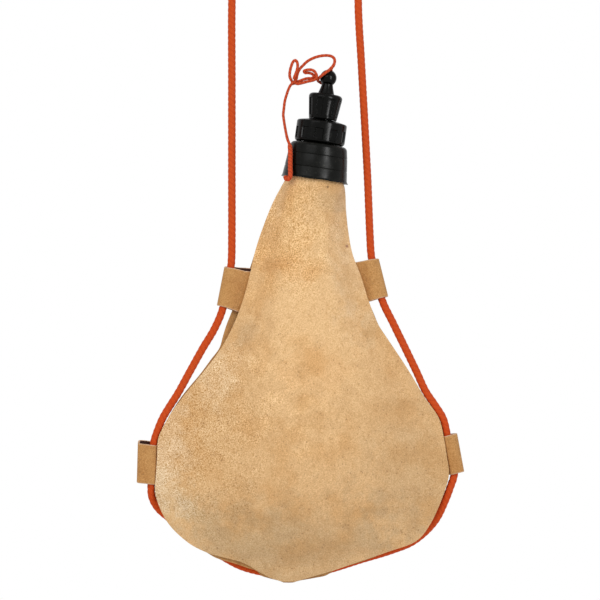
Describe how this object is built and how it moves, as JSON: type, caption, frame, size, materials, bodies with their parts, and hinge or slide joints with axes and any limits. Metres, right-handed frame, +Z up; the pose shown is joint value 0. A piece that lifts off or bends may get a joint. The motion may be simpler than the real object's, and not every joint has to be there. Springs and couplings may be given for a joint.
{
  "type": "leather bota bag",
  "caption": "Pear-shaped leather drinking bag with a black screw nozzle and cap, hung by one cord through four leather loops.",
  "frame": {"origin": "where a hook bears, under the bend at the top of the carry cord", "axes": "+Z up along the hanging bag, -Y out of its front panel, +X to the right as seen from the front"},
  "size_m": [0.1964, 0.0432, 0.3992],
  "materials": {
    "suede_leather": "pale tan suede, finely speckled",
    "loop_leather": "tan leather, a little darker than the panels",
    "latex": "matt cream latex",
    "black_plastic": "glossy black moulded plastic",
    "seal_rubber": "dark grey rubber",
    "orange_cord": "orange-red twisted cord",
    "binding_cord": "waxed natural twine"
  },
  "bodies": {
    "root": {"front_panel": "suede_leather", "back_panel": "suede_leather", "latex_liner": "latex", "filler_neck": "black_plastic", "neck_binding": "binding_cord", "collar": "black_plastic", "loop_upper_left": "loop_leather", "loop_upper_right": "loop_leather", "loop_lower_left": "loop_leather", "loop_lower_right": "loop_leather", "carry_cord": "orange_cord", "carry_cord_knot": "orange_cord", "keeper_cord": "orange_cord"},
    "nozzle_seal": {"nozzle_washer": "seal_rubber"},
    "nozzle": {"nozzle": "black_plastic"},
    "cap_seal": {"cap_washer": "seal_rubber", "keeper_loop": "orange_cord", "keeper_bow": "orange_cord", "keeper_tail": "orange_cord", "keeper_knot": "orange_cord"},
    "cap": {"cap": "black_plastic"}
  },
  "joints": [
    {"name": "nozzle_lift", "type": "slide", "parent": "root", "child": "nozzle_seal", "axis": [0.1357, 0, 0.9907], "range_m": [0, 0.012], "deforming": ["keeper_cord"]},
    {"name": "nozzle_turn", "type": "hinge", "parent": "nozzle_seal", "child": "nozzle", "pos_m": [0.0122, 0, -0.153], "axis": [0.1357, 0, 0.9907], "range_deg": [0, 1080]},
    {"name": "cap_lift", "type": "slide", "parent": "nozzle", "child": "cap_seal", "axis": [0.1357, 0, 0.9907], "range_m": [0, 0.0105], "deforming": ["keeper_cord"]},
    {"name": "cap_turn", "type": "hinge", "parent": "cap_seal", "child": "cap", "pos_m": [0.0122, 0, -0.153], "axis": [0.1357, 0, 0.9907], "range_deg": [0, 1080]}
  ],
  "couplings": [
    {"joint": "nozzle_lift", "follows": "nozzle_turn", "m_per_rad": 0.0006366},
    {"joint": "cap_lift", "follows": "cap_turn", "m_per_rad": 0.000557}
  ]
}
